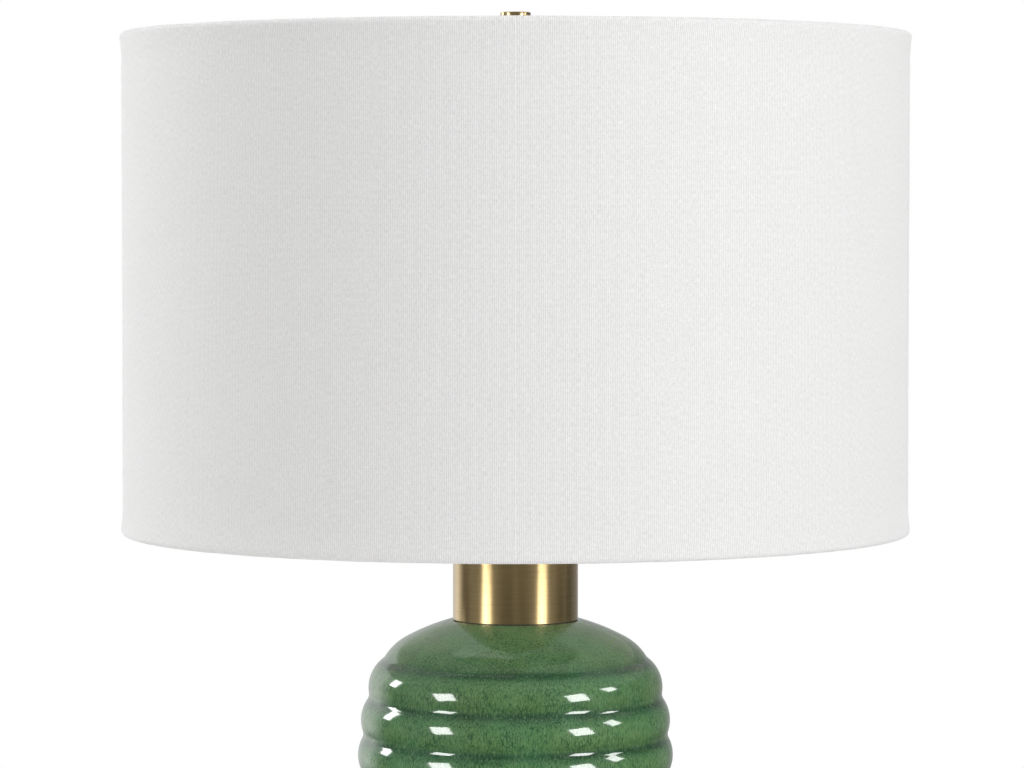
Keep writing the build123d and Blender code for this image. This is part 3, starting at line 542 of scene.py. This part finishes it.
def rim_run(ring_z, to_wall):
    """Middle of the cloth round one ring, from the hem inside to the wall; to_wall is 1 or -1, up or down."""
    ring, apex = (RING_R, ring_z), (RING_R, ring_z - to_wall * ROLL_R)
    inner, outer = (RING_R - ROLL_R, ring_z), (RING_R + ROLL_R, ring_z)
    hem, wall = (HEM_R, ring_z + to_wall * HEM_H), (WALL_R, ring_z + to_wall * ROLL_TAPER_H)
    points = line(hem, inner, TAPER_STEP) + arc(ring, inner, apex, ROLL_STEP)
    points += arc(ring, apex, outer, ROLL_STEP) + line(outer, wall, TAPER_STEP)
    return points, wall


def linen_section():
    """Middle of the cloth from the top hem, over the ring, down the wall and round the bottom ring."""
    top, top_wall = rim_run(TOP_RING_Z, -1)
    bottom, bottom_wall = rim_run(BOTTOM_RING_Z, 1)
    return top + line(top_wall, bottom_wall, WALL_STEP) + [bottom_wall] + bottom[::-1]


def linen_angles():
    """Columns round the drum, closer together at the seam and at the slits for the arms."""
    step = FULL_TURN / LINEN_COLUMNS
    angles = {round(n * step, 5) for n in range(LINEN_COLUMNS)}
    for middle, half in [(SEAM_AT, SEAM_HALF_W + SEAM_MARGIN)] + [(a, SLIT_MARGIN) for a in ARMS]:
        reach = half / SHADE_R
        angles = {a for a in angles if abs(short_way(a - middle)) > reach + step / 2}
        shares = [n / FINE_COLUMNS for n in range(-FINE_COLUMNS, FINE_COLUMNS + 1)]
        angles |= {round(middle + reach * share, 5) % FULL_TURN for share in shares}
    return sorted(angles)


def linen_relief(r, z, turn):
    """Slight unevenness of the rolled rims and of the laid cloth, and the lap of the back seam."""
    to_rim = np.minimum(np.abs(z - TOP_RING_Z), np.abs(z - BOTTOM_RING_Z))
    rim = np.exp(-((to_rim / 7) ** 2))
    soft, broad = ripple(turn, z, RIM_WAVES), ripple(turn, z, WALL_WAVES)
    away = np.abs(short_way(turn - SEAM_AT)) * SHADE_R
    lap = LAP_T * (1 - 1 / (1 + np.exp(-(away - SEAM_HALF_W) * LAP_STEEPNESS)))
    outside = r >= RING_R - 0.1
    return r + outside * (soft * rim * 0.6 + broad * (1 - rim) + lap), z + soft * rim * 0.35


def in_slit(face):
    """Whether a face of the cloth lies where an arm comes in under the top ring."""
    c = face.center * MM_PER_M
    inside = math.hypot(c.x, c.y) < RING_R - 0.4 and c.z > TOP_RING_Z - HEM_H - 1
    depth = TOP_RING_Z + SLIT_TOP - c.z
    turn = math.atan2(c.x, -c.y)
    off = min(abs(short_way(turn - arm)) for arm in ARMS) * RING_R
    return inside and depth > 0 and off < SLIT_HALF_W + SLIT_SPREAD * depth


def cut_faces(piece, indices):
    mesh = bmesh.new()
    mesh.from_mesh(piece.data)
    mesh.faces.ensure_lookup_table()
    bmesh.ops.delete(mesh, geom=[mesh.faces[n] for n in indices], context="FACES")
    mesh.to_mesh(piece.data)
    mesh.free()


def apply_modifiers(piece):
    """Bake the piece's modifiers into its own mesh."""
    bpy.context.view_layer.update()
    depsgraph = bpy.context.evaluated_depsgraph_get()
    piece.data = bpy.data.meshes.new_from_object(piece.evaluated_get(depsgraph))
    piece.modifiers.clear()


def make_linen():
    section = linen_section()
    cloth = spin("linen_drum", section, linen_angles(), "shade", "white_linen", linen_relief, closed=False)
    cut_faces(cloth, [face.index for face in cloth.data.polygons if in_slit(face)])
    thick = cloth.modifiers.new("cloth", "SOLIDIFY")
    thick.thickness = CLOTH_T * MM
    thick.offset = 0
    thick.use_even_offset = True
    apply_modifiers(cloth)
    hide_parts("shade_fabric")


make_linen()


# ---------------------------------------------------------------- threads
POST_PITCH, BULB_PITCH = INCH / 27, INCH / 7
POST_GROOVE, SKIRT_GROOVE, HOLDER_GROOVE = 0.5, 0.65, 0.22
POST_R, POST_H, POST_TIP_R, POST_CHAMFER_H = 3.175, 12.7, 2.2, 0.9
SEAT_R, SEAT_T, SEAT_NECK_R = 7.0, 1.8, 2.0
SKIRT_R, SKIRT_INSIDE_R, SKIRT_TOP_R, TIP_HOLE_R = 13.0, 11.95, 12.6, 4.5
HOLDER_R, HOLDER_INSIDE_R, HOLDER_HOLE_R = 13.5, 13.05, 6.5
GROOVE_STEP = 0.4
SHEET_T = 0.4
AXIS_R = 0.02
CREST_TOLERANCE = 0.02


def thread(pitch, depth, low, high, crest_r, rounded=True):
    """Relief that cuts a right-hand helical groove at the crest radius, fading out at both levels."""

    def relief(r, z, turn):
        phase = (z / pitch - turn / FULL_TURN) % 1
        if rounded:
            wave = 0.5 - 0.5 * np.cos(FULL_TURN * phase)
        else:
            wave = np.clip(1.25 - np.abs(phase - 0.5) * 2.5, 0, 1)
        ends = np.clip((z - low) / pitch, 0, 1) * np.clip((high - z) / pitch, 0, 1)
        on_crest = np.abs(r - crest_r) < CREST_TOLERANCE
        return np.where(on_crest, r - depth * (1 - wave) * ends, r), z

    return relief


def make_stud():
    """Threaded post, seat flange and rivet at the top of the harp."""
    low, high = (corner.z * MM_PER_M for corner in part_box("harp_stud"))
    seat, rivet, chamfer = high - POST_H, low + 1.0, high - POST_CHAMFER_H
    section = line((AXIS_R, high), (POST_TIP_R, high), 1) + line((POST_TIP_R, high), (POST_R, chamfer), 0.3)
    section += line((POST_R, chamfer), (POST_R, seat + 0.02), 0.11)
    section += [(POST_R, seat), (SEAT_R - 0.4, seat), (SEAT_R, seat - 0.35), (SEAT_R, seat - SEAT_T + 0.3)]
    section += [(SEAT_R - 0.25, seat - SEAT_T), (SEAT_NECK_R, seat - SEAT_T), (SEAT_NECK_R, rivet)]
    section += [(3.4, rivet), (3.35, rivet - 0.35), (2.6, rivet - 0.8), (1.4, low), (AXIS_R, low)]
    cut = thread(POST_PITCH, POST_GROOVE, seat, high, POST_R, rounded=False)
    stud = spin("harp_post", section, even(40), "stand", "socket_brass", cut)
    sharpen(stud, 35)
    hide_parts("harp_stud")


def make_bulb_skirt():
    """Rolled aluminium skirt of the bulb."""
    low, high = (corner.z * MM_PER_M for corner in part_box("bulb_screw_base"))
    floor_z = low + SHEET_T
    section = line((SKIRT_R, high), (SKIRT_R, low + 1.0), 0.3)
    section += [(SKIRT_R - 0.25, floor_z), (SKIRT_R - 0.7, low)]
    section += [(TIP_HOLE_R, low), (TIP_HOLE_R, floor_z), (SKIRT_INSIDE_R - 0.05, floor_z)]
    section += line((SKIRT_INSIDE_R, low + 0.6), (SKIRT_INSIDE_R, high - 7.2), 2)
    section += [(SKIRT_TOP_R - 0.02, high - 6.8), (SKIRT_TOP_R, high)]
    cut = thread(BULB_PITCH, SKIRT_GROOVE, low + 1.2, high - 5.0, SKIRT_R)
    skirt = spin("bulb_skirt", section, even(96), "bulb_base", "bulb_aluminium", cut)
    sharpen(skirt)
    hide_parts("bulb_screw_base")


def make_screw_shell():
    """Rolled thread of the lampholder's own screw shell."""
    low, high = (corner.z * MM_PER_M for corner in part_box("screw_shell"))
    floor_z = low + HOLDER_R - HOLDER_INSIDE_R
    section = line((HOLDER_R, low), (HOLDER_R, high), GROOVE_STEP)
    section += [(HOLDER_R, high), (HOLDER_INSIDE_R, high)]
    section += line((HOLDER_INSIDE_R, high), (HOLDER_INSIDE_R, floor_z), GROOVE_STEP)
    section += [(HOLDER_INSIDE_R, floor_z), (HOLDER_HOLE_R, floor_z), (HOLDER_HOLE_R, low)]
    cut = thread(BULB_PITCH, HOLDER_GROOVE, low + 1.5, high - 1.5, HOLDER_R)
    shell = spin("holder_screw_shell", section, even(72), "stand", "contact_metal", cut)
    sharpen(shell)
    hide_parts("screw_shell")


make_stud()
make_bulb_skirt()
make_screw_shell()


# ---------------------------------------------------------------- edges of carried parts
EASED_MM = {"pipe_nuts": 0.35, "spider_hub": 0.25, "seat_washer": 0.15, "felt_pad": 0.5, "harp_saddle": 0.25}


def ease_edges(node, width):
    """Small bevel that catches the light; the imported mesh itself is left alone."""
    weld = nodes[node].modifiers.new("weld", "WELD")
    weld.merge_threshold = 0.01 * MM
    bevel = nodes[node].modifiers.new("bevel", "BEVEL")
    bevel.width = width * MM
    bevel.segments = 2
    bevel.limit_method = "ANGLE"
    bevel.angle_limit = math.radians(35)
    bevel.harden_normals = True


for node, width in EASED_MM.items():
    ease_edges(node, width)


# ---------------------------------------------------------------- studio
WHITE = (1, 1, 1, 1)
DIM_Z, FULL_Z, DIMMED = -0.35, -0.12, 0.3
BOX_DISTANCE, BOX_AIM_Z = 1.7, 0.35
FLOOR_R, FLOOR_SIDES = 1.7, 128
CAMERA_PLACE = (0.0, -2.163, 0.5311)
CAMERA_PITCH, CAMERA_YAW = math.radians(90 - 2.346), math.radians(0.048)
LENS_MM, SENSOR_MM = 146.57, 36.0

# (azimuth in degrees, brightness): azimuth 0 is on the camera's side, positive to its right.
SOFT_LIGHT = [
    (-180, 0.1), (-150, 0.05), (-125, 3.8), (-100, 1.3), (-60, 0.03), (-30, 0.86), (0, 1.14),
    (20, 0.1), (50, 3.0), (75, 0.85), (95, 0.6), (120, 0.03), (150, 1.7), (180, 0.1),
]
MIRRORED_LIGHT = [
    (-180, 0.45), (-150, 0.9), (-135, 1.35), (-122, 0.75), (-113, 0.15), (-98, 0.13), (-93, 0.32),
    (-46, 0.34), (-31, 0.31), (-27, 0.16), (-6, 0.13), (0, 0.3), (6, 0.13), (25, 0.15), (30, 0.31),
    (76, 0.31), (86, 0.13), (99, 0.13), (103, 0.3), (107, 0.12), (124, 0.12), (130, 0.2),
    (145, 0.25), (155, 0.32), (180, 0.45),
]


def softbox(name, azimuth, centre_z, width, height, radiance, roll=0.0):
    """Box of light round the lamp that only reflections see."""
    data = bpy.data.lights.new(name, "AREA")
    data.shape = "RECTANGLE"
    data.size, data.size_y = width, height
    data.energy = radiance * math.pi * width * height
    light = bpy.data.objects.new(name, data)
    bpy.context.scene.collection.objects.link(light)
    turn = math.radians(azimuth)
    light.location = (math.sin(turn) * BOX_DISTANCE, -math.cos(turn) * BOX_DISTANCE, centre_z)
    aim = Vector((0, 0, BOX_AIM_Z)) - light.location
    facing = aim.to_track_quat("-Z", "Y") @ Quaternion((0, 0, 1), math.radians(roll))
    light.rotation_euler = facing.to_euler()
    light.visible_camera = False
    light.visible_diffuse = False


def ring_of_light(sky, turn, levels):
    """Brightness round the lamp from (azimuth, level) pairs that run from -180 to 180 degrees."""
    top = max(level for _, level in levels)
    stops = [(azimuth / 360 + 0.5, level / top) for azimuth, level in levels]
    return sky.math("MULTIPLY", sky.ramp(turn, *stops), top)


def make_world():
    """White to the camera, one ring of light for diffuse light and one, dimmed low down, for gloss."""
    world = bpy.data.worlds.new("studio")
    bpy.context.scene.world = world
    world.use_nodes = True
    sky = Nodes(world.node_tree)
    direction = sky.node("SeparateXYZ", {0: sky.node("TexCoord").outputs["Generated"]}).outputs
    toward = sky.math("MULTIPLY", direction[1], -1.0)
    azimuth = sky.math("ARCTAN2", direction[0], toward)
    turn = sky.math("ADD", sky.math("MULTIPLY", azimuth, 1 / FULL_TURN), 0.5)
    dimming = {"Value": direction[2], "From Min": DIM_Z, "From Max": FULL_Z, "To Min": DIMMED, "To Max": 1.0}
    level = sky.node("MapRange", dimming, interpolation_type="SMOOTHSTEP").outputs[0]
    mirrored = sky.math("MULTIPLY", ring_of_light(sky, turn, MIRRORED_LIGHT), level)
    soft = ring_of_light(sky, turn, SOFT_LIGHT)
    path = sky.node("LightPath").outputs
    lit = sky.node("MixRGB", {0: path["Is Glossy Ray"], 1: soft, 2: mirrored}).outputs[0]
    seen = sky.node("MixRGB", {0: path["Is Camera Ray"], 1: lit, 2: WHITE}).outputs[0]
    sky.feed(sky.tree.nodes["Background"].inputs["Color"], seen)


def make_floor():
    mesh = bpy.data.meshes.new("floor")
    ring = [(FLOOR_R * math.cos(a), FLOOR_R * math.sin(a), 0.0) for a in even(FLOOR_SIDES)]
    mesh.from_pydata(ring, [], [list(range(FLOOR_SIDES))])
    pale = plain("floor", (0.80, 0.80, 0.79), (0.84, 0.84, 0.83), size=0.3, rough=0.6, depth=0.0)
    mesh.materials.append(pale.material)
    floor = bpy.data.objects.new("floor", mesh)
    bpy.context.scene.collection.objects.link(floor)
    floor.visible_glossy = False


def make_camera():
    data = bpy.data.cameras.new("camera")
    data.sensor_width = SENSOR_MM
    data.lens = LENS_MM
    data.clip_end = 20.0
    camera = bpy.data.objects.new("camera", data)
    bpy.context.scene.collection.objects.link(camera)
    camera.location = CAMERA_PLACE
    camera.rotation_euler = (CAMERA_PITCH, 0.0, CAMERA_YAW)
    bpy.context.scene.camera = camera


softbox("left_box", -55.5, centre_z=0.62, width=0.50, height=0.60, radiance=18.0, roll=20)
softbox("right_box", 49.5, centre_z=0.62, width=0.50, height=0.60, radiance=18.0, roll=10)
softbox("right_strip", 81, centre_z=1.04, width=0.34, height=0.42, radiance=15.0, roll=20)
softbox("left_strip", -113, centre_z=0.98, width=0.32, height=0.65, radiance=13.0)
make_world()
make_floor()
make_camera()

settings = bpy.context.scene.view_settings
settings.view_transform = "Standard"
settings.look = "None"
